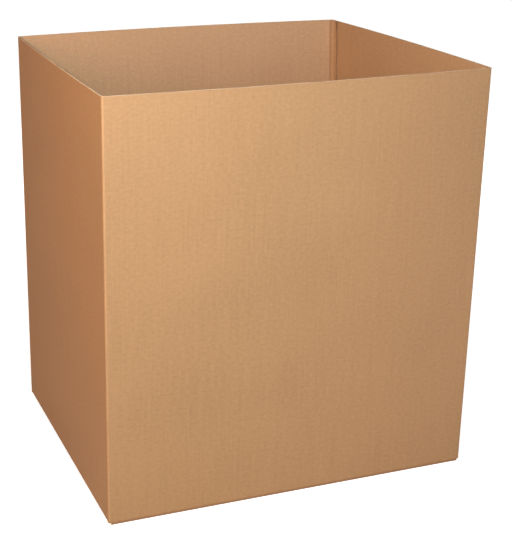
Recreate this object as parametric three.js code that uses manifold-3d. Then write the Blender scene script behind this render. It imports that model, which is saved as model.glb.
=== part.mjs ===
// Bulk pallet box: an open-topped double-wall corrugated case, folded from one slotted blank.
// Four walls, a glued joint tab and the two side bottom flaps are one folded sheet.
// The front and back bottom flaps lie outermost under the box and each swings on its own fold.
// Millimetres, +Z up, the front wall faces -Y. The origin is the centre of the footprint, on the floor.

import * as THREE from 'three';
import { mergeVertices } from 'three/addons/utils/BufferGeometryUtils.js';
import Module from 'manifold-3d';

const wasm = await Module();
wasm.setup();

// Driving dimensions

// Outside of the box at its folded bottom: it covers a 48 by 40 inch pallet and stands 52 inches high.
const OUTSIDE_WIDTH = 1219;
const OUTSIDE_DEPTH = 1016;
const OUTSIDE_HEIGHT = 1321;

// Double-wall board: three liners with a small and a large flute between them.
const BOARD = 7;

// A scored fold: the inside liner is pinched nearly sharp and the outside liner runs round it.
const FOLD_INSIDE_RADIUS = 1.5;

// The open rim is free, so each wall bulges outwards there, most at its middle.
const RIM_BOW_FRONT = 18;
const RIM_BOW_BACK = 26;
const RIM_BOW_LEFT = 5;
const RIM_BOW_RIGHT = 12;
// Handling has also racked the rim: its left side leans to the front and its right side to the back,
// and the right side is turned, out at its front corner and in at its back corner.
const RIM_RACK = 25;
const RIM_TURN = 28;
// Both start this far above the floor. The rack and turn grow evenly with the height, and the bulge
// with this power of it.
const BOW_START = 60;
const BOW_POWER = 1.6;

// The maker's joint: a tab on the back wall, glued flat to the inside of the right wall and
// pressed a little into it.
const TAB_WIDTH = 38;
const GLUE_SINK = 0.5;

// The blank is slotted between its bottom flaps, a little past each vertical fold and the bottom fold.
const SLOT_PAST_FOLD = 1.5;
const SLOT_OVERCUT = 1.5;

// The front and back flaps meet at the middle of the bottom. All four are cut to one length.
const SEAM_GAP = 4;

// Room left between the sheet and each flap that moves on it.
const CLEARANCE = 0.3;

// How finely curved walls and folds are divided.
const WALL_COLUMNS = 14;
const WALL_ROWS = 12;
const FOLD_STEPS = 5;
const KNUCKLE_STEPS = 16;

// Lengths that follow from the driving dimensions

const halfWidth = OUTSIDE_WIDTH / 2;
const halfDepth = OUTSIDE_DEPTH / 2;
const foldRadius = FOLD_INSIDE_RADIUS + BOARD;
const wallBottom = BOARD + CLEARANCE;
const slotTop = wallBottom + SLOT_OVERCUT;
const sideFoldTop = wallBottom + foldRadius;
const flapHalfWidth = halfWidth - foldRadius - SLOT_PAST_FOLD;
const flapHalfDepth = halfDepth - foldRadius - SLOT_PAST_FOLD;
const hingeDepth = halfDepth - BOARD / 2;
const flapLength = hingeDepth - SEAM_GAP / 2;
const sideFlapTip = halfWidth - BOARD / 2 - flapLength;

// Solids and meshes

function toSolid(geometry) {
  const bare = geometry.clone();
  bare.deleteAttribute('normal');
  bare.deleteAttribute('uv');
  const merged = mergeVertices(bare, 1e-4);
  return new wasm.Manifold(new wasm.Mesh({
    numProp: 3,
    vertProperties: new Float32Array(merged.attributes.position.array),
    triVerts: new Uint32Array(merged.index.array),
  }));
}

function toGeometry(solid) {
  const mesh = solid.getMesh();
  const geometry = new THREE.BufferGeometry();
  geometry.setAttribute('position', new THREE.BufferAttribute(mesh.vertProperties, 3));
  geometry.setIndex(new THREE.BufferAttribute(mesh.triVerts, 1));
  geometry.computeVertexNormals();
  return geometry;
}

function block(low, high) {
  const size = high.clone().sub(low);
  const middle = high.clone().add(low).multiplyScalar(0.5);
  const geometry = new THREE.BoxGeometry(size.x, size.y, size.z);
  geometry.translate(middle.x, middle.y, middle.z);
  return toSolid(geometry);
}

// The sheet in plan

// How far the rim has moved at each corner, seen in plan.
const shiftFrontLeft = new THREE.Vector2(0, -RIM_RACK);
const shiftFrontRight = new THREE.Vector2(RIM_TURN, RIM_RACK);
const shiftBackLeft = new THREE.Vector2(0, -RIM_RACK);
const shiftBackRight = new THREE.Vector2(-RIM_TURN, RIM_RACK);

// A station is one upright line of the sheet: its place on the outside face, the outward direction
// of the board there, how far its rim end has moved, and the sideways push of the bulge at the rim.
function station(x, y, outward, shift, bow = new THREE.Vector2()) {
  return { place: new THREE.Vector2(x, y), outward, shift, bow };
}

// A panel from one point to another, facing outward, bulging by bow at the middle of its rim, with
// its two ends moved as their corners are.
function panel(from, to, outward, bow, shiftFrom, shiftTo) {
  const stations = [];
  for (let i = 0; i <= WALL_COLUMNS; i += 1) {
    const share = i / WALL_COLUMNS;
    const middleness = 1 - (2 * share - 1) ** 2;
    const place = from.clone().lerp(to, share);
    const shift = shiftFrom.clone().lerp(shiftTo, share);
    const push = outward.clone().multiplyScalar(bow * middleness);
    stations.push(station(place.x, place.y, outward, shift, push));
  }
  return stations;
}

// An upright fold about a centre, clockwise through a right angle that starts at startAngle, without
// its two ends.
function fold(centre, startAngle, shift) {
  const stations = [];
  for (let i = 1; i < FOLD_STEPS; i += 1) {
    const angle = startAngle - (Math.PI / 2) * (i / FOLD_STEPS);
    const outward = new THREE.Vector2(Math.cos(angle), Math.sin(angle));
    const place = centre.clone().addScaledVector(outward, foldRadius);
    stations.push(station(place.x, place.y, outward, shift));
  }
  return stations;
}

// How much of the rim's rack and turn is there at a height.
function lean(height) {
  return Math.max(0, (height - BOW_START) / (OUTSIDE_HEIGHT - BOW_START));
}

// How much of the rim's bulge is there at a height.
function rise(height) {
  return lean(height) ** BOW_POWER;
}

// The heights at which the sheet is divided, from its bottom edge to its rim.
function sheetHeights() {
  const heights = [wallBottom];
  for (let i = 0; i <= WALL_ROWS; i += 1) {
    heights.push(BOW_START + (OUTSIDE_HEIGHT - BOW_START) * (i / WALL_ROWS));
  }
  return heights;
}

// Raises a row of stations into one closed sheet of board, with its cut edges all round.
function raiseSheet(stations) {
  const heights = sheetHeights();
  const positions = [];
  for (const inset of [0, BOARD]) {
    for (const height of heights) {
      for (const { place, outward, shift, bow } of stations) {
        const spot = place.clone().addScaledVector(outward, -inset);
        spot.addScaledVector(shift, lean(height)).addScaledVector(bow, rise(height));
        positions.push(spot.x, spot.y, height);
      }
    }
  }
  const columns = stations.length;
  const rows = heights.length;
  const point = (side, row, column) => (side * rows + row) * columns + column;
  const faces = [];
  const quad = (a, b, c, d) => faces.push(a, b, c, a, c, d);
  const last = columns - 1;
  const top = rows - 1;
  for (let row = 0; row < top; row += 1) {
    const up = row + 1;
    for (let column = 0; column < last; column += 1) {
      const next = column + 1;
      quad(point(0, row, column), point(0, up, column), point(0, up, next), point(0, row, next));
      quad(point(1, row, column), point(1, row, next), point(1, up, next), point(1, up, column));
    }
    quad(point(0, row, 0), point(1, row, 0), point(1, up, 0), point(0, up, 0));
    quad(point(0, row, last), point(0, up, last), point(1, up, last), point(1, row, last));
  }
  for (let column = 0; column < last; column += 1) {
    const next = column + 1;
    quad(point(0, 0, column), point(0, 0, next), point(1, 0, next), point(1, 0, column));
    quad(point(0, top, column), point(1, top, column), point(1, top, next), point(0, top, next));
  }
  const geometry = new THREE.BufferGeometry();
  geometry.setAttribute('position', new THREE.Float32BufferAttribute(positions, 3));
  geometry.setIndex(faces);
  return toSolid(geometry);
}

const toRight = new THREE.Vector2(1, 0);
const toLeft = new THREE.Vector2(-1, 0);
const toFront = new THREE.Vector2(0, -1);
const toBack = new THREE.Vector2(0, 1);

const foldX = halfWidth - foldRadius;
const foldY = halfDepth - foldRadius;

// The four walls and the folds between them, from the right wall's cut edge at the back corner round
// to the back wall's end.
const backWallEnd = halfWidth - BOARD - foldRadius + GLUE_SINK;
const at = (x, y) => new THREE.Vector2(x, y);
const rightWall = panel(
  at(halfWidth, foldY), at(halfWidth, -foldY), toRight, RIM_BOW_RIGHT, shiftBackRight, shiftFrontRight,
);
const frontWall = panel(
  at(foldX, -halfDepth), at(-foldX, -halfDepth), toFront, RIM_BOW_FRONT, shiftFrontRight, shiftFrontLeft,
);
const leftWall = panel(
  at(-halfWidth, -foldY), at(-halfWidth, foldY), toLeft, RIM_BOW_LEFT, shiftFrontLeft, shiftBackLeft,
);
const backWall = panel(
  at(-foldX, halfDepth), at(backWallEnd, halfDepth), toBack, RIM_BOW_BACK, shiftBackLeft, shiftBackRight,
);
const wallStations = [
  station(halfWidth, halfDepth, toRight, shiftBackRight),
  ...rightWall,
  ...fold(at(foldX, -foldY), 0, shiftFrontRight),
  ...frontWall,
  ...fold(at(-foldX, -foldY), -Math.PI / 2, shiftFrontLeft),
  ...leftWall,
  ...fold(at(-foldX, foldY), Math.PI, shiftBackLeft),
  ...backWall,
];

// The joint tab: the last of the back wall, the fold inside the right wall, and the tab, which
// follows the right wall because it is glued to it.
function tabStations() {
  const faceX = backWallEnd + foldRadius;
  const tabEnd = foldY - TAB_WIDTH;
  const stations = [
    station(backWallEnd - BOARD, halfDepth, toBack, shiftBackRight),
    station(backWallEnd, halfDepth, toBack, shiftBackRight),
    ...fold(at(backWallEnd, foldY), Math.PI / 2, shiftBackRight),
  ];
  for (const y of [foldY, (foldY + tabEnd) / 2, tabEnd]) {
    const bow = toRight.clone().multiplyScalar(RIM_BOW_RIGHT * (1 - (y / foldY) ** 2));
    const shift = shiftBackRight.clone().lerp(shiftFrontRight, (1 - y / foldY) / 2);
    stations.push(station(faceX, y, toRight, shift, bow));
  }
  return stations;
}

// The side bottom flaps

// Section of a side wall's foot, its bottom fold and the flap under it, for the right-hand side.
function sideFlapSection() {
  const foldCentreX = halfWidth - foldRadius;
  const overlap = BOARD;
  const section = new THREE.Shape();
  section.moveTo(halfWidth, sideFoldTop + overlap);
  section.lineTo(halfWidth - BOARD, sideFoldTop + overlap);
  section.lineTo(halfWidth - BOARD, sideFoldTop);
  section.absarc(foldCentreX, sideFoldTop, FOLD_INSIDE_RADIUS, 0, -Math.PI / 2, true);
  section.lineTo(sideFlapTip, wallBottom + BOARD);
  section.lineTo(sideFlapTip, wallBottom);
  section.lineTo(foldCentreX, wallBottom);
  section.absarc(foldCentreX, sideFoldTop, foldRadius, -Math.PI / 2, 0, false);
  section.closePath();
  return section;
}

function sideFlap(side) {
  const geometry = new THREE.ExtrudeGeometry(sideFlapSection(), {
    depth: 2 * flapHalfDepth,
    bevelEnabled: false,
    curveSegments: FOLD_STEPS,
  });
  geometry.rotateX(Math.PI / 2);
  geometry.translate(0, flapHalfDepth, 0);
  if (side < 0) geometry.rotateZ(Math.PI);
  return toSolid(geometry);
}

// Takes away the foot of a side wall between its slots, where the rounded fold goes instead.
function sideFoot(side) {
  const near = halfWidth - BOARD - 1;
  const far = halfWidth + 1;
  const low = new THREE.Vector3(Math.min(side * near, side * far), -flapHalfDepth, 0);
  const high = new THREE.Vector3(Math.max(side * near, side * far), flapHalfDepth, sideFoldTop);
  return block(low, high);
}

// The slot at a bottom corner, cut a little above the bottom fold.
function cornerSlot(sideX, sideY) {
  const nearX = sideX * flapHalfWidth;
  const farX = sideX * (halfWidth + 1);
  const nearY = sideY * flapHalfDepth;
  const farY = sideY * (halfDepth + 1);
  const low = new THREE.Vector3(Math.min(nearX, farX), Math.min(nearY, farY), 0);
  const high = new THREE.Vector3(Math.max(nearX, farX), Math.max(nearY, farY), slotTop);
  return block(low, high);
}

function boxBody() {
  let sheet = raiseSheet(wallStations).add(raiseSheet(tabStations()));
  for (const sideX of [-1, 1]) {
    for (const sideY of [-1, 1]) {
      sheet = sheet.subtract(cornerSlot(sideX, sideY));
    }
  }
  for (const side of [-1, 1]) {
    sheet = sheet.subtract(sideFoot(side)).add(sideFlap(side));
  }
  return toGeometry(sheet);
}

// The front and back bottom flaps

// Section of the back flap: a round knuckle in the fold and a flat flap to the middle seam.
function outerFlapSection() {
  const section = new THREE.Shape();
  section.moveTo(SEAM_GAP / 2, 0);
  section.lineTo(hingeDepth, 0);
  section.absarc(hingeDepth, BOARD / 2, BOARD / 2, -Math.PI / 2, Math.PI / 2, false);
  section.lineTo(SEAM_GAP / 2, BOARD);
  section.closePath();
  return section;
}

function outerFlap(side) {
  const geometry = new THREE.ExtrudeGeometry(outerFlapSection(), {
    depth: 2 * flapHalfWidth,
    bevelEnabled: false,
    curveSegments: KNUCKLE_STEPS,
  });
  geometry.rotateX(Math.PI / 2);
  geometry.rotateZ(Math.PI / 2);
  geometry.translate(-flapHalfWidth, 0, 0);
  if (side < 0) geometry.rotateZ(Math.PI);
  return toGeometry(toSolid(geometry));
}

// The assembly

function board(name, geometry, colour) {
  const material = new THREE.MeshStandardMaterial({ color: colour, roughness: 0.85, metalness: 0 });
  const mesh = new THREE.Mesh(geometry, material);
  mesh.name = name;
  return mesh;
}

const palletBox = new THREE.Group();
palletBox.add(board('box_body', boxBody(), 0xc39463));
palletBox.add(board('front_bottom_flap', outerFlap(-1), 0xbd8d5b));
palletBox.add(board('back_bottom_flap', outerFlap(1), 0xbd8d5b));

// The walls bulge and lean by different amounts, so the box is set over so that its outline is centred.
const outlineCentre = new THREE.Box3().setFromObject(palletBox).getCenter(new THREE.Vector3());
palletBox.position.set(-outlineCentre.x, -outlineCentre.y, 0);

export default palletBox;
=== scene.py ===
"""Looks of a bulk pallet box: a tall open case of double-wall corrugated board, folded from one blank.

Every sheet of board is drawn flat, as the maker cuts it, and is then folded into place. On the flat
blank u runs along the box, v runs up it and w runs through the board from its outside face. All sizes
are in metres.
"""

import math
from collections import namedtuple

import bmesh
import bpy
from mathutils import Matrix, Vector, noise


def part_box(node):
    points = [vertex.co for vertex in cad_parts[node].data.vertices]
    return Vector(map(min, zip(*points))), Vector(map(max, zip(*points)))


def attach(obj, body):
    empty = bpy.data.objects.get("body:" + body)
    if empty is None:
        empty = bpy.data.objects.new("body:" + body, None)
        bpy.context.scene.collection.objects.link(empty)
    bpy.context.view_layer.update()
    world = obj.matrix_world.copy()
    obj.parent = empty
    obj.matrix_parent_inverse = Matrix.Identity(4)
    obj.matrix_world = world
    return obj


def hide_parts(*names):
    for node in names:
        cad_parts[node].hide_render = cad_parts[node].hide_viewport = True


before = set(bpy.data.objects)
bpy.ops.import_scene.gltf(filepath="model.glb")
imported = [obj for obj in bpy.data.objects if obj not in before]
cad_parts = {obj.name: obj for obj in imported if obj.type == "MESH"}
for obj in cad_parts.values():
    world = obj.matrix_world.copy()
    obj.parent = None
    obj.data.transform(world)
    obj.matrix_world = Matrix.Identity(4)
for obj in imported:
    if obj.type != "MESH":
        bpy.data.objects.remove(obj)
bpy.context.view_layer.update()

bl_info = {
    "name": "Bulk pallet box",
    "version": (1, 0, 0),
    "blender": (4, 5, 0),
    "location": "3D View > Sidebar > Pallet box",
    "description": "Dresses the packed model of a double-wall corrugated pallet box",
    "category": "Object",
}

MM = 0.001

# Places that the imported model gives
BODY_LOW, BODY_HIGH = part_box("box_body")
FLAP_LOW, FLAP_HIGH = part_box("front_bottom_flap")
BACK_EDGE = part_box("back_bottom_flap")[1].y
# Middle of the folded bottom, and half of its outside size
MIDDLE = Vector(((FLAP_LOW.x + FLAP_HIGH.x) / 2, (FLAP_LOW.y + BACK_EDGE) / 2, 0.0))
FLAP_HALF_WIDTH = (FLAP_HIGH.x - FLAP_LOW.x) / 2
HALF_DEPTH = (BACK_EDGE - FLAP_LOW.y) / 2

# Slots of each piece's mesh, in the order in which its materials are added
OUTSIDE, INSIDE, CUT, CORE = range(4)

# How finely walls, folds and flutes are divided
WALL_COLUMNS = 36
WALL_ROWS = 26
FLAP_ROWS = 8
FOLD_STEPS = 10
STEPS_PER_FLUTE = 8
SHARP_ANGLE = math.radians(32)

# Lines beside a fold and across the tab, in millimetres from the end of the fold
CREASE_LINES = (3.0, 4.5, 6.0, 8.0, 10.5, 14.0, 19.0, 26.0)
TAB_LINES = (1.5, 3, 4.5, 6, 8, 10.5, 13, 14.5, 16, 17, 18, 19.5, 21, 27, 33)

# The inside liner is pinched in a fold and beads up beside it
PINCH = 0.6 * MM
BEAD_HEIGHT = 1.3 * MM
BEAD_PLACE = 4.5 * MM
BEAD_SPREAD = 2.6 * MM

# How softly the tab goes down to its pressed part, and how wide the groove there is
PRESS_RAMP = 0.8 * MM
GROOVE_SPREAD = 1.8 * MM

# How wide the pale line on an upright fold (rubbed liner and a painted highlight) and the painted shade
# along the bottom folds are
RUBBED_HIGHLIGHT_SPREAD = 3 * MM
BOTTOM_SHADE_SPREAD = 4 * MM
FLAP_SHADE_SPREAD = 8 * MM

# The knife leaves the rim's edge a little uneven, in waves along the rim and through the board
RIM_DEPTH = 2 * MM
RIM_UNEVEN = 0.3 * MM
RIM_WAVE = 23 * MM
RIM_WAVE_THROUGH = 6 * MM

# Widths and heights of the liner's patterns on the blank
FORMATION_SIZE = (13 * MM, 9 * MM)
DRIFT_SIZE = (420 * MM, 300 * MM)
STREAK_SIZE = (7 * MM, 260 * MM)
FIBRE_SIZE = (3.2 * MM, 0.4 * MM)
SPECK_SIZE = (2.6 * MM, 1.3 * MM)
PATCH_SIZE = 18 * MM

# How far the liner's tone goes either side of its colour, as a share of it
TONE_SPAN = 0.16

# Uncoated paper hardly shines
PAPER_SPECULAR = 0.06

# Points nearer than this are on the same line, a knife cut opens this wide, and flutes clear the board
HAIR = 0.01 * MM
SLIT_WIDTH = 0.2 * MM
FLUTE_ROOM = 0.02 * MM
END_ROOM = 0.1 * MM


# Sizes and colours

def length(name, description, default):
    """A length that the panel shows in the scene's units."""
    return bpy.props.FloatProperty(
        name=name, description=description, default=default, unit="LENGTH", precision=5
    )


def linear(hex_colour):
    """Linear red, green, blue and alpha of an sRGB hex colour."""
    channels = [int(hex_colour[i:i + 2], 16) / 255 for i in (1, 3, 5)]
    straight = [c / 12.92 if c <= 0.04045 else ((c + 0.055) / 1.055) ** 2.4 for c in channels]
    return (*straight, 1.0)


def colour(name, description, hex_colour):
    """A colour that the panel shows as a swatch."""
    return bpy.props.FloatVectorProperty(
        name=name, description=description, default=linear(hex_colour), size=4, subtype="COLOR",
        min=0, max=1
    )


class PalletBoxSizes(bpy.types.PropertyGroup):
    """Sizes of the board and of the way it is cut and folded"""

    board: length("Board", "Thickness of the double-wall board", FLAP_HIGH.z)
    liner: length("Liner", "Thickness of the outside and inside liners", 0.45 * MM)
    middle_liner: length("Middle liner", "Thickness of the liner between the flutes", 0.3 * MM)
    medium: length("Medium", "Thickness of the fluted paper", 0.25 * MM)
    small_flute: length("Small flute", "Height of the outside flutes", 2.5 * MM)
    small_pitch: length("Small pitch", "Spacing of the outside flutes", 6.4 * MM)
    large_pitch: length("Large pitch", "Spacing of the inside flutes", 7.9 * MM)
    fold_inside: length("Fold inside", "Inside radius of a scored fold", 1.5 * MM)
    slot_past_fold: length("Slot past fold", "How far a slot reaches past an upright fold", 1.5 * MM)
    slot_overcut: length("Slot overcut", "How far a slot reaches above the bottom fold", 1.5 * MM)
    tab_width: length("Tab width", "Width of the glued joint tab", 38 * MM)
    tab_crease: length("Tab crease", "Where the crushed part of the tab begins", 17 * MM)
    tab_pressed: length("Tab pressed", "How much thinner the tab is past its crease", 2.6 * MM)
    tab_groove: length("Tab groove", "Depth of the groove at the tab's crease", 1.0 * MM)
    glue_gap: length("Glue gap", "Room between the tab and the wall that it is glued to", 0.1 * MM)
    bow_front: length("Front bow", "How far the front wall's rim bulges", 18 * MM)
    bow_back: length("Back bow", "How far the back wall's rim bulges", 26 * MM)
    bow_left: length("Left bow", "How far the left wall's rim bulges", 5 * MM)
    bow_right: length("Right bow", "How far the right wall's rim bulges", 12 * MM)
    rack: length("Rack", "How far the rim leans forwards at the left, backwards at the right", 25 * MM)
    turn: length("Turn", "How far the right wall's rim is out at the front and in at the back", 28 * MM)
    bow_start: length("Bow start", "Height at which the walls begin to bulge and lean", 60 * MM)
    bow_power: bpy.props.FloatProperty(
        name="Bow power", description="How steeply the bulge grows towards the rim",
        default=1.6, min=1, max=3
    )
    open_depth: length("Open depth", "How deep the flutes are open at a cut across them", 6 * MM)
    edge_depth: length("Edge depth", "How deep a flute is open at a cut along it", 2.6 * MM)


class PalletBoxColours(bpy.types.PropertyGroup):
    """Colours of the papers, as seen under plain white light"""

    outside: colour("Outside liner", "Kraft liner on the outside", "#AD8559")
    inside: colour("Inside liner", "Kraft liner on the inside", "#C89E71")
    fibre: colour("Dark fibre", "Coarse fibres and bark specks in the liners", "#8E6440")
    # This pale colour stands for rubbed liner and also for a painted highlight along the upright folds
    worn_and_painted_light: colour("Worn fold", "Stretched and rubbed liner on a fold", "#D2A97C")
    # The cut edge is paler than raw kraft: partly its own colour, partly a painted highlight of the rim
    # lit from above
    edge: colour("Cut edge", "Raw edge of the liners where a knife has cut them", "#F8DAB0")
    # The medium is made paler than the liner, a painted highlight of the rim lit from above
    medium: colour("Medium", "Fluted paper between the liners", "#DEB487")
    floor: colour("Floor", "Pale studio floor", "#E2DCD2")


# The folded sheet

# A piece of the sheet's plan: its name, start and length on the blank, its place finder and its columns
Stretch = namedtuple("Stretch", "name start length locate lines")


def straight(name, start, end, outward, bow_at, shift_at):
    """A flat stretch of the plan from one point to another, with its rim bulged and shifted."""
    span = (end - start).length

    def locate(distance):
        share = distance / span
        return start.lerp(end, share), outward, outward * bow_at(share), shift_at(share)

    return name, span, locate


def upright_fold(name, centre, start_angle, radius, shift):
    """A rounded quarter turn of the plan about a centre, with its rim shifted."""

    def locate(distance):
        angle = start_angle - distance / radius
        outward = Vector((math.cos(angle), math.sin(angle)))
        return centre + radius * outward, outward, Vector((0, 0)), shift

    return name, radius * math.pi / 2, locate


def wall_bow(bow):
    """The bulge of a wall along its width: none at its folds and most at its middle."""
    return lambda share: bow * (1 - (2 * share - 1) ** 2)


def between(first, last):
    """The shift of a wall's rim along its width, from one corner's shift to the next one's."""
    return lambda share: first.lerp(last, share)


def graded(span, first, steps):
    """Distances along a wall: close together at both ends, where the creases are, and even between."""
    near = [first] + [line * MM for line in CREASE_LINES]
    inner = near[-1]
    even = [inner + (span - 2 * inner) * step / steps for step in range(1, steps)]
    return near + even + [span - line for line in reversed(near)]


class FoldedSheet:
    """The walls, tab and side flaps as one sheet, and where folding takes each point of its blank."""

    def __init__(self, sizes):
        self.sizes = sizes
        self.board = sizes.board
        self.radius = sizes.fold_inside + sizes.board
        self.rim = BODY_HIGH.z
        self.wall_bottom = BODY_LOW.z
        self.slot_top = self.wall_bottom + sizes.slot_overcut
        self.side_fold_top = self.wall_bottom + self.radius
        self.side_fold_end = self.side_fold_top - self.radius * math.pi / 2
        self.half_depth = HALF_DEPTH
        self.half_width = FLAP_HALF_WIDTH + sizes.slot_past_fold + self.radius
        self.fold_x = self.half_width - self.radius
        self.fold_y = self.half_depth - self.radius
        flap_reach = FLAP_HIGH.y - FLAP_LOW.y
        side_tip_x = self.half_width - flap_reach
        self.side_tip = self.side_fold_end - (self.fold_x - side_tip_x)
        self.tab_bottom = self.side_fold_top + self.board / 2
        self.stretches = self.lay_out()
        self.folds = [stretch for stretch in self.stretches if stretch.name.endswith("fold")]

    def lay_out(self):
        """The stretches of the outside face, from the right wall's cut edge round to the tab's."""
        sizes = self.sizes
        right, left = Vector((1, 0)), Vector((-1, 0))
        front, back = Vector((0, -1)), Vector((0, 1))
        depth, width, x, y = self.half_depth, self.half_width, self.fold_x, self.fold_y
        front_left = back_left = Vector((0, -sizes.rack))
        front_right = Vector((sizes.turn, sizes.rack))
        back_right = Vector((-sizes.turn, sizes.rack))
        right_shift = between(back_right, front_right)
        tab_face = width - self.board - sizes.glue_gap
        tab_x = tab_face - self.radius
        tab_y = y - sizes.tab_width

        def share_on_wall(share):
            return sizes.tab_width * share / (2 * y)

        def tab_bow(share):
            return wall_bow(sizes.bow_right)(share_on_wall(share))

        made = [
            straight("cut edge", Vector((width, depth)), Vector((width, y)), right,
                     lambda share: 0.0, lambda share: back_right),
            straight("right wall", Vector((width, y)), Vector((width, -y)), right,
                     wall_bow(sizes.bow_right), right_shift),
            upright_fold("front right fold", Vector((x, -y)), 0.0, self.radius, front_right),
            straight("front wall", Vector((x, -depth)), Vector((-x, -depth)), front,
                     wall_bow(sizes.bow_front), between(front_right, front_left)),
            upright_fold("front left fold", Vector((-x, -y)), -math.pi / 2, self.radius, front_left),
            straight("left wall", Vector((-width, -y)), Vector((-width, y)), left,
                     wall_bow(sizes.bow_left), between(front_left, back_left)),
            upright_fold("back left fold", Vector((-x, y)), -math.pi, self.radius, back_left),
            straight("back wall", Vector((-x, depth)), Vector((tab_x, depth)), back,
                     wall_bow(sizes.bow_back), between(back_left, back_right)),
            upright_fold("tab fold", Vector((tab_x, y)), math.pi / 2, self.radius, back_right),
            straight("tab", Vector((tab_face, y)), Vector((tab_face, tab_y)), right,
                     tab_bow, lambda share: right_shift(share_on_wall(share))),
        ]
        stretches, start = [], 0.0
        for name, span, locate in made:
            stretches.append(Stretch(name, start, span, locate, self.inner_lines(name, span)))
            start += span
        return stretches

    def inner_lines(self, name, span):
        """The columns inside one stretch, as distances from its start."""
        if name.endswith("wall"):
            return graded(span, self.sizes.slot_past_fold, WALL_COLUMNS)
        if name.endswith("fold"):
            return [span * step / FOLD_STEPS for step in range(1, FOLD_STEPS)]
        if name == "cut edge":
            return [self.sizes.edge_depth + self.sizes.liner]
        return [line * MM for line in TAB_LINES] + [span - self.sizes.edge_depth - self.sizes.liner]

    def stretch(self, name):
        """The stretch of that name."""
        return next(stretch for stretch in self.stretches if stretch.name == name)

    def stretch_at(self, u):
        """The stretch that a place along the blank falls in."""
        for stretch in self.stretches:
            if u <= stretch.start + stretch.length:
                return stretch
        return self.stretches[-1]

    def columns(self):
        """Every upright line of the blank."""
        lines = [0.0]
        for stretch in self.stretches:
            lines += [stretch.start + line for line in stretch.lines]
            lines.append(stretch.start + stretch.length)
        return lines

    def rows(self):
        """Every level line of the blank, from the side flaps' tips up to the rim."""
        near = [line * MM for line in CREASE_LINES]
        flap_top = self.side_fold_end - near[-1]
        wall_low = self.side_fold_top + near[-1]
        skin = self.sizes.liner * 2
        lines = [self.side_tip, self.side_tip + skin]
        flap_span = flap_top - self.side_tip
        lines += [self.side_tip + flap_span * i / FLAP_ROWS for i in range(1, FLAP_ROWS)]
        lines += [self.side_fold_end - line for line in reversed(near)]
        fold_height = self.side_fold_top - self.side_fold_end
        lines += [self.side_fold_end + fold_height * i / FOLD_STEPS for i in range(FOLD_STEPS + 1)]
        lines += [self.wall_bottom, self.slot_top, self.tab_bottom]
        lines += [self.side_fold_top + line for line in near]
        lines += [wall_low + (self.rim - wall_low) * i / WALL_ROWS for i in range(1, WALL_ROWS)]
        lines += [self.rim - skin, self.rim]
        return sorted(set(round(line, 7) for line in lines))

    def slots(self, name):
        """Where the slots on both sides of a wall's bottom flap end, along the blank."""
        wall = self.stretch(name)
        past = self.sizes.slot_past_fold
        return wall.start + past, wall.start + wall.length - past

    def on_side_panel(self, u):
        """True between the slots of the right or the left wall."""
        panels = (self.slots("right wall"), self.slots("left wall"))
        return any(low - HAIR < u < high + HAIR for low, high in panels)

    def on_blank(self, u, v):
        """True where the blank has board, and false in its slots and past its bottom edges."""
        if self.on_side_panel(u):
            return True
        name = self.stretch_at(u).name
        if name == "tab":
            return v > self.tab_bottom
        if name in ("front wall", "back wall"):
            low, high = self.slots(name)
            if low < u < high:
                return v > self.wall_bottom
        return v > self.slot_top

    def lean(self, height):
        """The share of the rim's shift that a wall has at a height."""
        return max(0.0, (height - self.sizes.bow_start) / (self.rim - self.sizes.bow_start))

    def bead(self, distance):
        """How far the inside liner stands proud, at a distance from the end of a fold."""
        return BEAD_HEIGHT * math.exp(-(((distance - BEAD_PLACE) / BEAD_SPREAD) ** 2))

    def fold_distance(self, u):
        """How far a place along the blank lies from the nearest upright fold, and 0 inside it."""
        return min(max(fold.start - u, u - fold.start - fold.length, 0.0) for fold in self.folds)

    def bottom_distance(self, u, v):
        """How far a place lies from its wall's bottom fold, up or down the blank, and 0 inside it."""
        if self.on_side_panel(u):
            return max(v - self.side_fold_top, self.side_fold_end - v, 0.0)
        return max(v - self.wall_bottom, 0.0)

    def tab_crush(self, u):
        """How much thinner the tab is where it was pressed for the glue, with a groove at its start."""
        tab = self.stretch("tab")
        if u <= tab.start:
            return 0.0
        past = u - tab.start - self.sizes.tab_crease
        pressed = 1 / (1 + math.exp(-past / PRESS_RAMP))
        groove = math.exp(-((past / GROOVE_SPREAD) ** 2))
        return self.sizes.tab_pressed * pressed + self.sizes.tab_groove * groove

    def inside_shift(self, u, v):
        """How far the inside liner stands proud of the plain board: scored folds pinch and bead it."""
        aside = self.fold_distance(u)
        shift = self.bead(aside) if aside > 0 else -PINCH
        if self.on_side_panel(u) or self.stretch_at(u).name in ("front wall", "back wall"):
            below = self.bottom_distance(u, v)
            shift = max(shift, self.bead(below)) if below > 0 else -PINCH
        return shift

    def fold_middle_distance(self, u):
        """How far a place along the blank lies from the middle of the nearest upright fold."""
        return min(abs(u - fold.start - fold.length / 2) for fold in self.folds)

    def wear_and_painted_light(self, u, v):
        """1 where an upright fold is rubbed pale and painted with a highlight, -1 where a bottom fold
        is darkened with painted shade, and 0 elsewhere.
        """
        aside = self.fold_middle_distance(u)
        below = self.bottom_distance(u, v)
        return math.exp(-((aside / RUBBED_HIGHLIGHT_SPREAD) ** 2)) - math.exp(-((below / BOTTOM_SHADE_SPREAD) ** 2))

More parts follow.
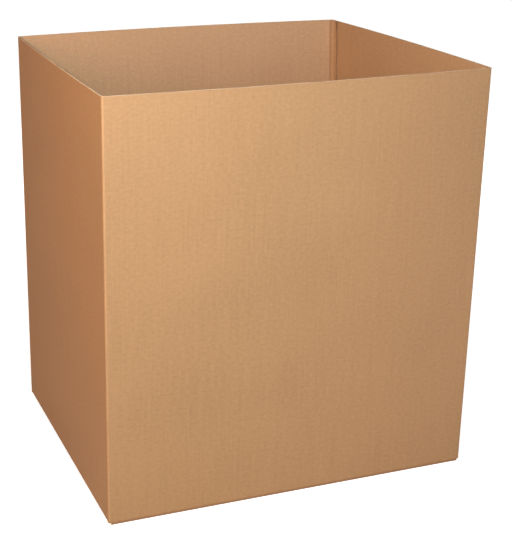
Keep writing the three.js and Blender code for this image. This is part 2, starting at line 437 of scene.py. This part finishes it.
    def fold(self, u, v, w):
        """The point of the folded box that a point of the flat blank becomes."""
        stretch = self.stretch_at(u)
        place, outward, bow, shift = stretch.locate(u - stretch.start)
        depth_share = max(0.0, w / self.board)
        crushed = w * (1 - self.tab_crush(u) / self.board)
        inward = crushed + self.inside_shift(u, v) * depth_share ** 3
        below = self.side_fold_top - v
        height = v
        if self.on_side_panel(u) and below > 0:
            turn = min(below / self.radius, math.pi / 2)
            past = max(0.0, self.side_fold_end - v)
            reach = self.radius - inward
            height = self.side_fold_top - reach * math.sin(turn)
            place = place + outward * (reach * math.cos(turn) - self.radius - past)
        else:
            lean = self.lean(v)
            place = place - outward * inward + shift * lean + bow * lean ** self.sizes.bow_power
        if v > self.rim - RIM_DEPTH:
            height += RIM_UNEVEN * noise.noise(Vector((u / RIM_WAVE, w / RIM_WAVE_THROUGH, 0.0)))
        return MIDDLE + Vector((place.x, place.y, height))


# Making board

def layer_lines(sizes):
    """Where one layer of the board meets the next, through its thickness."""
    first = sizes.liner
    second = first + sizes.small_flute
    third = second + sizes.middle_liner
    return [first, second, third, sizes.board - sizes.liner]


def gaps_of(sizes):
    """The two hollow layers of the board that the flutes fill, from and to, through its thickness."""
    lines = layer_lines(sizes)
    return [(lines[0], lines[1]), (lines[2], lines[3])]


def flat_grid(columns, rows):
    """A flat sheet with a line at each column and row."""
    blank = bmesh.new()
    across, up = len(columns) - 1, len(rows) - 1
    bmesh.ops.create_grid(blank, x_segments=across, y_segments=up, size=1.0)
    for vertex in blank.verts:
        column = round((vertex.co.x + 1) / 2 * across)
        row = round((vertex.co.y + 1) / 2 * up)
        vertex.co = (columns[column], rows[row], 0.0)
    return blank


def drop_faces(blank, keep):
    """Takes away the squares of a flat sheet that keep turns down."""
    unwanted = [face for face in blank.faces if not keep(face.calc_center_median())]
    bmesh.ops.delete(blank, geom=unwanted, context="FACES")


def slit(blank, line, away, low, high):
    """Cuts a flat sheet along an upright line between two heights, and opens it on the side away."""
    cuts = []
    for edge in blank.edges:
        ends = [vertex.co for vertex in edge.verts]
        on_line = all(abs(end.x - line) < HAIR for end in ends)
        if on_line and all(low - HAIR < end.y < high + HAIR for end in ends):
            cuts.append(edge)
    bmesh.ops.split_edges(blank, edges=cuts)
    for vertex in blank.verts:
        in_cut = abs(vertex.co.x - line) < HAIR and low - HAIR < vertex.co.y < high - HAIR
        sides = [(face.calc_center_median().x - line) * away for face in vertex.link_faces]
        if in_cut and all(side > 0 for side in sides):
            vertex.co.x += away * SLIT_WIDTH


def thicken(blank, board):
    """Gives a flat sheet the board's thickness, upwards from its outside face."""
    raised = bmesh.ops.extrude_face_region(blank, geom=blank.faces[:])
    moved = [item for item in raised["geom"] if isinstance(item, bmesh.types.BMVert)]
    bmesh.ops.translate(blank, verts=moved, vec=(0, 0, board))
    bmesh.ops.recalc_face_normals(blank, faces=blank.faces[:])


def mark_layers(blank, sizes):
    """Rules the lines between the layers on every cut edge of a board."""
    for line in layer_lines(sizes):
        everything = blank.verts[:] + blank.edges[:] + blank.faces[:]
        bmesh.ops.bisect_plane(blank, geom=everything, plane_co=(0, 0, line), plane_no=(0, 0, 1))


def choose_slots(blank):
    """Gives each face of a board the slot of its paper, by the way it faces."""
    for face in blank.faces:
        face.normal_update()
        if face.normal.z < -0.1:
            face.material_index = OUTSIDE
        elif face.normal.z > 0.1:
            face.material_index = INSIDE
        else:
            face.material_index = CUT


def open_gaps(blank, sizes, on_edge, inward):
    """Sinks the hollow layers of a cut edge, so that the liners' own edges stand clear."""
    chosen = []
    for face in blank.faces:
        centre = face.calc_center_median()
        hollow = any(low < centre.z < high for low, high in gaps_of(sizes))
        if hollow and face.material_index == CUT and on_edge(face, centre):
            chosen.append(face)
    sunk = bmesh.ops.extrude_face_region(blank, geom=chosen)
    moved = [item for item in sunk["geom"] if isinstance(item, bmesh.types.BMVert)]
    bmesh.ops.translate(blank, verts=moved, vec=inward)
    for face in {face for vertex in moved for face in vertex.link_faces}:
        face.material_index = CORE


def at_height(height):
    """A test for the faces of a cut edge that lie at one height of the blank."""
    return lambda face, centre: all(abs(vertex.co.y - height) < HAIR for vertex in face.verts)


def fold_into_piece(name, blank, fold, wear_and_painted_light, papers, body):
    """Folds a flat blank into place and makes it a piece that rides on a body.

    Each face keeps its place on the blank as its map, and a cut edge takes on the pattern beside it.
    """
    sheet_map = blank.loops.layers.uv.new("blank")
    for face in blank.faces:
        face.smooth = True
        for loop in face.loops:
            u, v, w = loop.vert.co
            loop[sheet_map].uv = (u + w, v + w)
    # This layer holds rubbed liner with a painted highlight on the upright folds, and painted shade on
    # the bottom folds
    worn_and_painted_light = blank.verts.layers.float.new("fold_wear_and_painted_light")
    for vertex in blank.verts:
        u, v, w = vertex.co
        vertex[worn_and_painted_light] = wear_and_painted_light(u, v)
        vertex.co = fold(u, v, w)
    bmesh.ops.recalc_face_normals(blank, faces=blank.faces[:])
    mesh = bpy.data.meshes.new(name)
    blank.to_mesh(mesh)
    blank.free()
    mesh.set_sharp_from_angle(angle=SHARP_ANGLE)
    for paper in papers:
        mesh.materials.append(paper)
    piece = bpy.data.objects.new(name, mesh)
    bpy.context.scene.collection.objects.link(piece)
    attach(piece, body)
    return piece


def make_fluting(name, fold, sizes, across, up, body):
    """The two fluted papers in the open ends of a cut edge, between two places across it and up it."""
    pitches = (sizes.small_pitch, sizes.large_pitch)
    for layer, (low, high), pitch in zip(("small", "large"), gaps_of(sizes), pitches):
        count = round((across[1] - across[0]) / pitch * STEPS_PER_FLUTE)
        columns = [across[0] + (across[1] - across[0]) * step / count for step in range(count + 1)]
        blank = flat_grid(columns, up)
        middle = (low + high) / 2
        swing = (high - low - sizes.medium) / 2 - FLUTE_ROOM
        for vertex in blank.verts:
            wave = math.cos(2 * math.pi * vertex.co.x / pitch)
            vertex.co.z = middle - sizes.medium / 2 + swing * wave
        raised = bmesh.ops.extrude_face_region(blank, geom=blank.faces[:])
        moved = [item for item in raised["geom"] if isinstance(item, bmesh.types.BMVert)]
        bmesh.ops.translate(blank, verts=moved, vec=(0, 0, sizes.medium))
        medium = [fluting_paper(bpy.context.scene.pallet_box_colours)]
        fold_into_piece(f"{name}_{layer}_flutes", blank, fold, lambda u, v: 0.0, medium, body)


# Materials

def add_node(tree, kind, settings=None, inputs=None):
    """Adds a node with its settings, and gives each named input a value or a link."""
    node = tree.nodes.new(kind)
    for name, value in (settings or {}).items():
        setattr(node, name, value)
    for name, value in (inputs or {}).items():
        if isinstance(value, bpy.types.NodeSocket):
            tree.links.new(value, node.inputs[name])
        else:
            node.inputs[name].default_value = value
    return node


def new_material(name):
    """A new node material of that name, with no nodes."""
    material = bpy.data.materials.new(name)
    material.use_nodes = True
    material.node_tree.nodes.clear()
    return material


def paper_pattern(tree, place, width, height, detail):
    """Soft blotches of a given width and height on a surface, from 0 to 1."""
    stretched = add_node(tree, "ShaderNodeMapping", {"vector_type": "POINT"}, {
        "Vector": place, "Scale": (1 / width, 1 / height, 1 / height),
    })
    blotches = add_node(tree, "ShaderNodeTexNoise", {"noise_dimensions": "3D"}, {
        "Vector": stretched.outputs[0], "Scale": 1.0, "Detail": detail, "Roughness": 0.55,
    })
    return blotches.outputs[0]


def blended(tree, share, first, second):
    """A colour that goes from the first to the second as share goes from 0 to 1."""
    mixed = add_node(tree, "ShaderNodeMix", {"data_type": "RGBA"}, {0: share, 6: first, 7: second})
    return mixed.outputs[2]


def computed(tree, operation, *values):
    """One step of arithmetic on numbers or sockets."""
    step = add_node(tree, "ShaderNodeMath", {"operation": operation}, dict(enumerate(values)))
    return step.outputs[0]


def stretched_share(tree, value, low, high, to_low, to_high):
    """A value from low to high, carried to another range and held there."""
    mapped = add_node(tree, "ShaderNodeMapRange", {}, {
        0: value, 1: low, 2: high, 3: to_low, 4: to_high,
    })
    return mapped.outputs[0]


def liner_paper(name, base, fibre, worn_and_painted_light, pitch, ridge, roughness):
    """Unbleached kraft liner: long fibres run across the flutes, which show faintly through it."""
    material = new_material(name)
    tree = material.node_tree
    place = add_node(tree, "ShaderNodeUVMap", {"uv_map": "blank"}).outputs[0]
    across = add_node(tree, "ShaderNodeSeparateXYZ", {}, {0: place}).outputs[0]

    # Clouds in the sheet as the paper machine lays it, and the larger drifts of tone along a wall
    formation = paper_pattern(tree, place, *FORMATION_SIZE, 4.0)
    drift = paper_pattern(tree, place, *DRIFT_SIZE, 1.0)
    # Uneven glue on the flutes shows as very faint streaks up the walls
    streaks = paper_pattern(tree, place, *STREAK_SIZE, 2.0)
    # Fibres are about 3 mm long and far thinner than a pixel, so they are drawn coarser than they are
    fibres = paper_pattern(tree, place, *FIBRE_SIZE, 2.0)
    specks = paper_pattern(tree, place, *SPECK_SIZE, 1.0)

    phase = computed(tree, "MULTIPLY", across, 2 * math.pi / pitch)
    flute = computed(tree, "SINE", phase)

    # The flute wave also shifts the tone faintly, a painted shade of the flutes' ridges on top of their
    # bump
    tone = computed(tree, "MULTIPLY", formation, 0.42)
    for pattern, share in ((streaks, 0.20), (fibres, 0.22), (drift, 0.16), (flute, 0.008)):
        tone = computed(tree, "MULTIPLY_ADD", pattern, share, tone)
    dark = tuple((1 - TONE_SPAN) * channel for channel in base[:3]) + (1.0,)
    light = tuple((1 + TONE_SPAN) * channel for channel in base[:3]) + (1.0,)
    body_colour = blended(tree, stretched_share(tree, tone, 0.30, 0.70, 0.0, 1.0), dark, light)
    speck_share = stretched_share(tree, specks, 0.71, 0.80, 0.0, 0.45)
    speckled = blended(tree, speck_share, body_colour, fibre)
    # The fold layer mixes in the pale fold colour, for rubbed liner and a painted highlight along the
    # upright folds, and the dark fibre colour as painted shade along the bottom folds
    wear_and_painted_light = add_node(tree, "ShaderNodeAttribute", {"attribute_name": "fold_wear_and_painted_light"}).outputs["Fac"]
    rubbed_highlight_share = computed(tree, "MULTIPLY", wear_and_painted_light, stretched_share(tree, fibres, 0.35, 0.65, 0.25, 0.55))
    rubbed_and_highlit = blended(tree, rubbed_highlight_share, speckled, worn_and_painted_light)
    painted_shade_share = stretched_share(tree, wear_and_painted_light, 0.0, -1.0, 0.0, 0.6)
    coloured = blended(tree, painted_shade_share, rubbed_and_highlit, fibre)

    # Height in metres: the flutes' ridges, then the fibres, then the clouds of the sheet
    height = computed(tree, "MULTIPLY", flute, ridge)
    for pattern in (fibres, formation):
        height = computed(tree, "MULTIPLY_ADD", pattern, 0.03 * MM, height)
    bump = add_node(tree, "ShaderNodeBump", {}, {"Strength": 1.0, "Distance": 1.0, "Height": height})
    gloss = stretched_share(tree, fibres, 0.3, 0.7, roughness - 0.05, roughness + 0.07)
    surface = add_node(tree, "ShaderNodeBsdfPrincipled", {}, {
        "Base Color": coloured, "Roughness": gloss, "IOR": 1.5, "Specular IOR Level": PAPER_SPECULAR,
        "Normal": bump.outputs[0],
    })
    add_node(tree, "ShaderNodeOutputMaterial", {}, {"Surface": surface.outputs[0]})
    return material


def raw_paper(name, base, fibre, grain):
    """Torn or knife-cut paper: short loose fibres, no calendered skin, quite matt."""
    material = new_material(name)
    tree = material.node_tree
    place = add_node(tree, "ShaderNodeTexCoord").outputs["Object"]
    fuzz = paper_pattern(tree, place, grain, grain, 3.0)
    patches = paper_pattern(tree, place, PATCH_SIZE, PATCH_SIZE, 1.0)
    light = tuple(min(1.0, 1.15 * channel) for channel in base[:3]) + (1.0,)
    toned = blended(tree, stretched_share(tree, patches, 0.3, 0.7, 0.0, 1.0), base, light)
    coloured = blended(tree, stretched_share(tree, fuzz, 0.45, 0.75, 0.0, 0.4), toned, fibre)
    bump = add_node(tree, "ShaderNodeBump", {}, {
        "Strength": 1.0, "Distance": 1.0, "Height": computed(tree, "MULTIPLY", fuzz, 0.15 * MM),
    })
    surface = add_node(tree, "ShaderNodeBsdfPrincipled", {}, {
        "Base Color": coloured, "Roughness": 0.9, "Specular IOR Level": PAPER_SPECULAR,
        "Normal": bump.outputs[0],
    })
    add_node(tree, "ShaderNodeOutputMaterial", {}, {"Surface": surface.outputs[0]})
    return material


def outside_liner_paper(sizes, colours):
    """Kraft liner pressed smooth on the outside, with the small flutes just showing."""
    return liner_paper("kraft_liner_outside", colours.outside, colours.fibre, colours.worn_and_painted_light,
                       sizes.small_pitch, 0.03 * MM, 0.58)


def inside_liner_paper(sizes, colours):
    """Kraft liner on the inside: duller, unrubbed at its folds, with the large flutes showing more."""
    return liner_paper("kraft_liner_inside", colours.inside, colours.fibre, colours.inside,
                       sizes.large_pitch, 0.045 * MM, 0.66)


def cut_edge_paper(colours):
    """Knife-cut edges of the liners: fuzzy and matt, and pale, partly their own colour and partly a
    painted highlight of the rim lit from above.
    """
    return raw_paper("kraft_cut_edge", colours.edge, colours.outside, 0.8 * MM)


def fluting_paper(colours):
    """Semi-chemical fluting medium, matt, made once and shared; its colour is paler than the liner, a
    painted highlight of the rim lit from above.
    """
    made = bpy.data.materials.get("fluting_medium")
    return made or raw_paper("fluting_medium", colours.medium, colours.fibre, 1.1 * MM)


def board_papers():
    """The papers of a piece of board, in the order of its slots."""
    sizes = bpy.context.scene.pallet_box_sizes
    colours = bpy.context.scene.pallet_box_colours
    known = bpy.data.materials
    return [
        known.get("kraft_liner_outside") or outside_liner_paper(sizes, colours),
        known.get("kraft_liner_inside") or inside_liner_paper(sizes, colours),
        known.get("kraft_cut_edge") or cut_edge_paper(colours),
        fluting_paper(colours),
    ]


# Pieces

def build_box_sheet(sizes):
    """The walls, the tab and the side flaps, cut and folded from one blank."""
    sheet = FoldedSheet(sizes)
    blank = flat_grid(sheet.columns(), sheet.rows())
    drop_faces(blank, lambda centre: sheet.on_blank(centre.x, centre.y))
    for wall in ("right wall", "left wall"):
        for line, away in zip(sheet.slots(wall), (-1, 1)):
            slit(blank, line, away, sheet.slot_top, sheet.side_fold_top)
    thicken(blank, sheet.board)
    mark_layers(blank, sizes)
    choose_slots(blank)

    end = sheet.stretches[-1].start + sheet.stretches[-1].length
    rim_start = sheet.columns()[1]
    rim_end = sheet.columns()[-2]
    skin = sizes.liner * 2
    on_rim = at_height(sheet.rim)
    on_tip = at_height(sheet.side_tip)

    def on_open_rim(face, centre):
        return on_rim(face, centre) and rim_start < centre.x < rim_end

    def on_open_tip(face, centre):
        inner = any(low + skin < centre.x < high - skin
                    for low, high in (sheet.slots("right wall"), sheet.slots("left wall")))
        return on_tip(face, centre) and inner

    def on_cut_end(line):
        def test(face, centre):
            upright = all(abs(vertex.co.x - line) < HAIR for vertex in face.verts)
            return upright and centre.y < sheet.rim - skin
        return test

    open_gaps(blank, sizes, on_open_rim, (0, -sizes.open_depth, 0))
    open_gaps(blank, sizes, on_open_tip, (0, sizes.open_depth, 0))
    open_gaps(blank, sizes, on_cut_end(0.0), (sizes.edge_depth, 0, 0))
    open_gaps(blank, sizes, on_cut_end(end), (-sizes.edge_depth, 0, 0))
    # The tab's end was crushed for the glue, so its medium shows right across the edge
    for face in blank.faces:
        if all(abs(vertex.co.x - end) < HAIR for vertex in face.verts):
            face.material_index = CORE
    piece = fold_into_piece("box_sheet", blank, sheet.fold, sheet.wear_and_painted_light, board_papers(), "box")
    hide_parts("box_body")
    return piece


def build_box_fluting(sizes):
    """The fluted papers that show at the rim and at the side flaps' tips."""
    sheet = FoldedSheet(sizes)
    room = END_ROOM
    skin = sizes.liner * 2
    rim_up = [sheet.rim - sizes.open_depth + room, sheet.rim - room]
    rim_across = (sheet.columns()[1] + room, sheet.columns()[-2] - room)
    make_fluting("rim", sheet.fold, sizes, rim_across, rim_up, "box")
    tip_up = [sheet.side_tip + room, sheet.side_tip + sizes.open_depth - room]
    for wall in ("right wall", "left wall"):
        low, high = sheet.slots(wall)
        near = [line for line in sheet.columns() if low + skin < line < high - skin]
        name = wall.split()[0] + "_side_flap"
        make_fluting(name, sheet.fold, sizes, (near[0] + room, near[-1] - room), tip_up, "box")


def outer_flap_fold(side):
    """Where a point of an outer flap's blank goes: u across the box, v from the fold to the tip."""

    def fold(u, v, w):
        return MIDDLE + Vector((-side * u, side * (HALF_DEPTH - v), w))

    return fold


def build_outer_flap(sizes, side, body, node):
    """An outer bottom flap, closed: its fold is rounded, and its other three edges are cut."""
    half_width = FLAP_HALF_WIDTH
    reach = FLAP_HIGH.y - FLAP_LOW.y
    skin = sizes.liner * 2
    depth = sizes.edge_depth
    round_off = sizes.board - sizes.liner
    columns = [-half_width, -half_width + depth + skin]
    columns += [half_width * (2 * step / WALL_COLUMNS - 1) for step in range(1, WALL_COLUMNS)]
    columns += [half_width - depth - skin, half_width]
    past_fold = sizes.board * 2
    rows = [0.0] + [past_fold + (reach - past_fold) * i / FLAP_ROWS for i in range(FLAP_ROWS)]
    rows += [reach - skin, reach]
    blank = flat_grid(columns, rows)
    thicken(blank, sizes.board)
    corner = [
        edge for edge in blank.edges
        if all(vertex.co.y < HAIR and vertex.co.z < HAIR for vertex in edge.verts)
    ]
    bmesh.ops.bevel(blank, geom=corner, offset=round_off, offset_type="OFFSET", segments=FOLD_STEPS,
                    profile=0.5, affect="EDGES", material=-1)
    mark_layers(blank, sizes)
    choose_slots(blank)
    # The outside liner runs on round the fold
    for face in blank.faces:
        if face.normal.y < -0.5:
            face.material_index = OUTSIDE

    def on_tip(face, centre):
        at_tip = all(abs(vertex.co.y - reach) < HAIR for vertex in face.verts)
        return at_tip and abs(centre.x) < half_width - depth - skin

    def on_side(sign):
        def test(face, centre):
            upright = all(abs(vertex.co.x - sign * half_width) < HAIR for vertex in face.verts)
            return upright and past_fold < centre.y < reach - skin
        return test

    open_gaps(blank, sizes, on_tip, (0, -sizes.open_depth, 0))
    open_gaps(blank, sizes, on_side(1), (-depth, 0, 0))
    open_gaps(blank, sizes, on_side(-1), (depth, 0, 0))

    # Painted shade: the flap is darkened along its fold, where the box meets the floor
    def wear_and_painted_light(u, v):
        return -math.exp(-((v / FLAP_SHADE_SPREAD) ** 2))

    name = node.replace("bottom_flap", "outer_flap")
    fold = outer_flap_fold(side)
    piece = fold_into_piece(name, blank, fold, wear_and_painted_light, board_papers(), body)
    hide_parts(node)
    room = END_ROOM
    across = (-half_width + depth + skin + room, half_width - depth - skin - room)
    up = [reach - sizes.open_depth + room, reach - room]
    make_fluting(name, fold, sizes, across, up, body)


# Stage

# Where the camera stood, worked out from the straight edges of the box in the photograph
CAMERA_PLACE = MIDDLE + Vector((-1.5486, -3.8843, 2.0562))
CAMERA_HEADING = math.radians(22.617)
CAMERA_PITCH = math.radians(-19.546)
CAMERA_ROLL = math.radians(1.067)
CAMERA_LENS = 86.44
CAMERA_SENSOR = 36.0

Lamp = namedtuple("Lamp", "name place target size power colour")

LAMPS = (
    Lamp("front_bank", (0.2, -3.8, 2.2), (0, -0.5, 0.7), 1.8, 105.0, "#D7E2FF"),
    Lamp("near_left_box", (-2.6, -1, 2.1), (-0.6, -0.3, 0.8), 1.2, 31.5, "#FFC495"),
    Lamp("corner_box", (-1.1, -1.9, 2.1), (-0.5, -0.5, 1.1), 0.7, 40.5, "#E7F2FF"),
    Lamp("back_fill", (1.6, 4.2, 2.4), (0.2, 0.4, 0.6), 2.4, 60.0, "#FFFFFF"),
)
AMBIENT_COLOUR = "#FFC495"
AMBIENT_STRENGTH = 0.120

# The floor seen by the camera: dark under the box, glowing from beside it, and plain white far from it
FLOOR_RADIUS = 40.0
FLOOR_DROP = 0.2 * MM
COVERED_RADIUS = 0.40
UNCOVERED_RADIUS = 0.48
GLOW_START = 1.0
GLOW_END = 3.2
GLOW_NEAR_BOX = 0.78


def place_camera():
    """Stands the camera where the photograph was taken from, with the same lens and tilt."""
    heading, pitch, roll = CAMERA_HEADING, CAMERA_PITCH, CAMERA_ROLL
    ahead = Vector((
        math.sin(heading) * math.cos(pitch), math.cos(heading) * math.cos(pitch), math.sin(pitch)
    ))
    aside = Vector((math.cos(heading), -math.sin(heading), 0.0))
    above = aside.cross(ahead)
    right = aside * math.cos(roll) + above * math.sin(roll)
    up = above * math.cos(roll) - aside * math.sin(roll)
    data = bpy.data.cameras.new("camera")
    data.lens = CAMERA_LENS
    data.sensor_width = CAMERA_SENSOR
    data.sensor_fit = "AUTO"
    camera = bpy.data.objects.new("camera", data)
    turn = Matrix((right, up, -ahead)).transposed()
    camera.matrix_world = Matrix.Translation(CAMERA_PLACE) @ turn.to_4x4()
    bpy.context.scene.collection.objects.link(camera)
    bpy.context.scene.camera = camera


def hang_lamp(lamp):
    """A soft square lamp at its place, facing its target, that the camera can't see."""
    data = bpy.data.lights.new(lamp.name, "AREA")
    data.shape = "SQUARE"
    data.size = lamp.size
    data.energy = lamp.power
    data.color = linear(lamp.colour)[:3]
    light = bpy.data.objects.new(lamp.name, data)
    towards = Vector(lamp.target) - Vector(lamp.place)
    turn = towards.to_track_quat("-Z", "Y").to_matrix()
    light.matrix_world = Matrix.Translation(lamp.place) @ turn.to_4x4()
    light.visible_camera = False
    bpy.context.scene.collection.objects.link(light)


def seen_directly(tree, straight_share=1.0):
    """Tells what the camera sees from light that falls on the box, which is 0.

    What the camera sees straight is the given share, and what it sees in a reflection is 1.
    """
    path = add_node(tree, "ShaderNodeLightPath").outputs
    straight = computed(tree, "MULTIPLY", path["Is Camera Ray"], straight_share)
    straight_or_shiny = computed(tree, "MAXIMUM", straight, path["Is Glossy Ray"])
    return computed(tree, "MAXIMUM", straight_or_shiny, path["Is Transmission Ray"])


def set_world():
    """A dim even light from all round, which the camera sees as white."""
    world = bpy.data.worlds.new("studio")
    world.use_nodes = True
    tree = world.node_tree
    tree.nodes.clear()
    seen = seen_directly(tree)
    even = add_node(tree, "ShaderNodeBackground", {}, {
        "Color": linear(AMBIENT_COLOUR), "Strength": AMBIENT_STRENGTH,
    })
    white = add_node(tree, "ShaderNodeBackground", {}, {"Color": (1, 1, 1, 1), "Strength": 1.0})
    mixed = add_node(tree, "ShaderNodeMixShader", {}, {
        0: seen, 1: even.outputs[0], 2: white.outputs[0],
    })
    add_node(tree, "ShaderNodeOutputWorld", {}, {"Surface": mixed.outputs[0]})
    bpy.context.scene.world = world


def floor_paint(colours):
    """Matt white studio floor: dark under the box, shadowed beside it and plain white far from it."""
    material = new_material("matt_studio_floor")
    tree = material.node_tree
    place = add_node(tree, "ShaderNodeTexCoord").outputs["Object"]
    away = add_node(tree, "ShaderNodeVectorMath", {"operation": "LENGTH"}, {0: place}).outputs["Value"]
    glow = stretched_share(tree, away, GLOW_START, GLOW_END, GLOW_NEAR_BOX, 1.0)
    uncovered = stretched_share(tree, away, COVERED_RADIUS, UNCOVERED_RADIUS, 0.0, 1.0)
    shown = computed(tree, "MULTIPLY", glow, seen_directly(tree, uncovered))
    matt = add_node(tree, "ShaderNodeBsdfDiffuse", {}, {"Color": colours.floor})
    bright = add_node(tree, "ShaderNodeEmission", {}, {"Color": (1, 1, 1, 1), "Strength": shown})
    both = add_node(tree, "ShaderNodeAddShader", {}, {0: matt.outputs[0], 1: bright.outputs[0]})
    below = add_node(tree, "ShaderNodeNewGeometry").outputs["Backfacing"]
    clear = add_node(tree, "ShaderNodeBsdfTransparent")
    mixed = add_node(tree, "ShaderNodeMixShader", {}, {
        0: below, 1: both.outputs[0], 2: clear.outputs[0],
    })
    add_node(tree, "ShaderNodeOutputMaterial", {}, {"Surface": mixed.outputs[0]})
    return material


def lay_floor(colours):
    """A wide round floor just under the box."""
    disc = bmesh.new()
    bmesh.ops.create_circle(disc, cap_ends=True, segments=64, radius=FLOOR_RADIUS)
    bmesh.ops.translate(disc, verts=disc.verts[:], vec=(0, 0, -FLOOR_DROP))
    mesh = bpy.data.meshes.new("studio_floor")
    disc.to_mesh(mesh)
    disc.free()
    mesh.materials.append(floor_paint(colours))
    floor = bpy.data.objects.new("studio_floor", mesh)
    bpy.context.scene.collection.objects.link(floor)


# Operators and panel

class PALLETBOX_OT_sheet(bpy.types.Operator):
    """Fold the walls, tab and side flaps from their blank"""

    bl_idname = "palletbox.sheet"
    bl_label = "Box sheet"

    def execute(self, context):
        build_box_sheet(context.scene.pallet_box_sizes)
        return {"FINISHED"}


class PALLETBOX_OT_fluting(bpy.types.Operator):
    """Put the fluted papers into the rim and the side flaps' tips"""

    bl_idname = "palletbox.fluting"
    bl_label = "Box fluting"

    def execute(self, context):
        build_box_fluting(context.scene.pallet_box_sizes)
        return {"FINISHED"}


class PALLETBOX_OT_outer_flaps(bpy.types.Operator):
    """Make the front and back bottom flaps with their fluting"""

    bl_idname = "palletbox.outer_flaps"
    bl_label = "Outer flaps"

    def execute(self, context):
        sizes = context.scene.pallet_box_sizes
        build_outer_flap(sizes, -1, "front_flap", "front_bottom_flap")
        build_outer_flap(sizes, 1, "back_flap", "back_bottom_flap")
        return {"FINISHED"}


class PALLETBOX_OT_stage(bpy.types.Operator):
    """Set up the floor, the lamps, the even light and the camera"""

    bl_idname = "palletbox.stage"
    bl_label = "Stage"

    def execute(self, context):
        context.scene.view_settings.view_transform = "Standard"
        place_camera()
        for lamp in LAMPS:
            hang_lamp(lamp)
        set_world()
        lay_floor(context.scene.pallet_box_colours)
        return {"FINISHED"}


class PALLETBOX_PT_build(bpy.types.Panel):
    """Sizes, colours and building steps of the pallet box"""

    bl_idname = "PALLETBOX_PT_build"
    bl_label = "Pallet box"
    bl_space_type = "VIEW_3D"
    bl_region_type = "UI"
    bl_category = "Pallet box"

    def draw(self, context):
        layout = self.layout
        for group in (context.scene.pallet_box_sizes, context.scene.pallet_box_colours):
            column = layout.column(align=True)
            for name in group.__annotations__:
                column.prop(group, name)
        for operator in OPERATORS:
            layout.operator(operator.bl_idname)


OPERATORS = (PALLETBOX_OT_sheet, PALLETBOX_OT_fluting, PALLETBOX_OT_outer_flaps, PALLETBOX_OT_stage)
CLASSES = (PalletBoxSizes, PalletBoxColours, *OPERATORS, PALLETBOX_PT_build)


def register():
    """Adds the classes and the scene's two groups of settings."""
    for each in CLASSES:
        bpy.utils.register_class(each)
    bpy.types.Scene.pallet_box_sizes = bpy.props.PointerProperty(type=PalletBoxSizes)
    bpy.types.Scene.pallet_box_colours = bpy.props.PointerProperty(type=PalletBoxColours)


def unregister():
    """Takes them away again."""
    del bpy.types.Scene.pallet_box_colours
    del bpy.types.Scene.pallet_box_sizes
    for each in reversed(CLASSES):
        bpy.utils.unregister_class(each)


def main():
    """Builds every piece and the stage."""
    register()
    bpy.ops.palletbox.sheet()
    bpy.ops.palletbox.fluting()
    bpy.ops.palletbox.outer_flaps()
    bpy.ops.palletbox.stage()


if __name__ == "__main__":
    main()
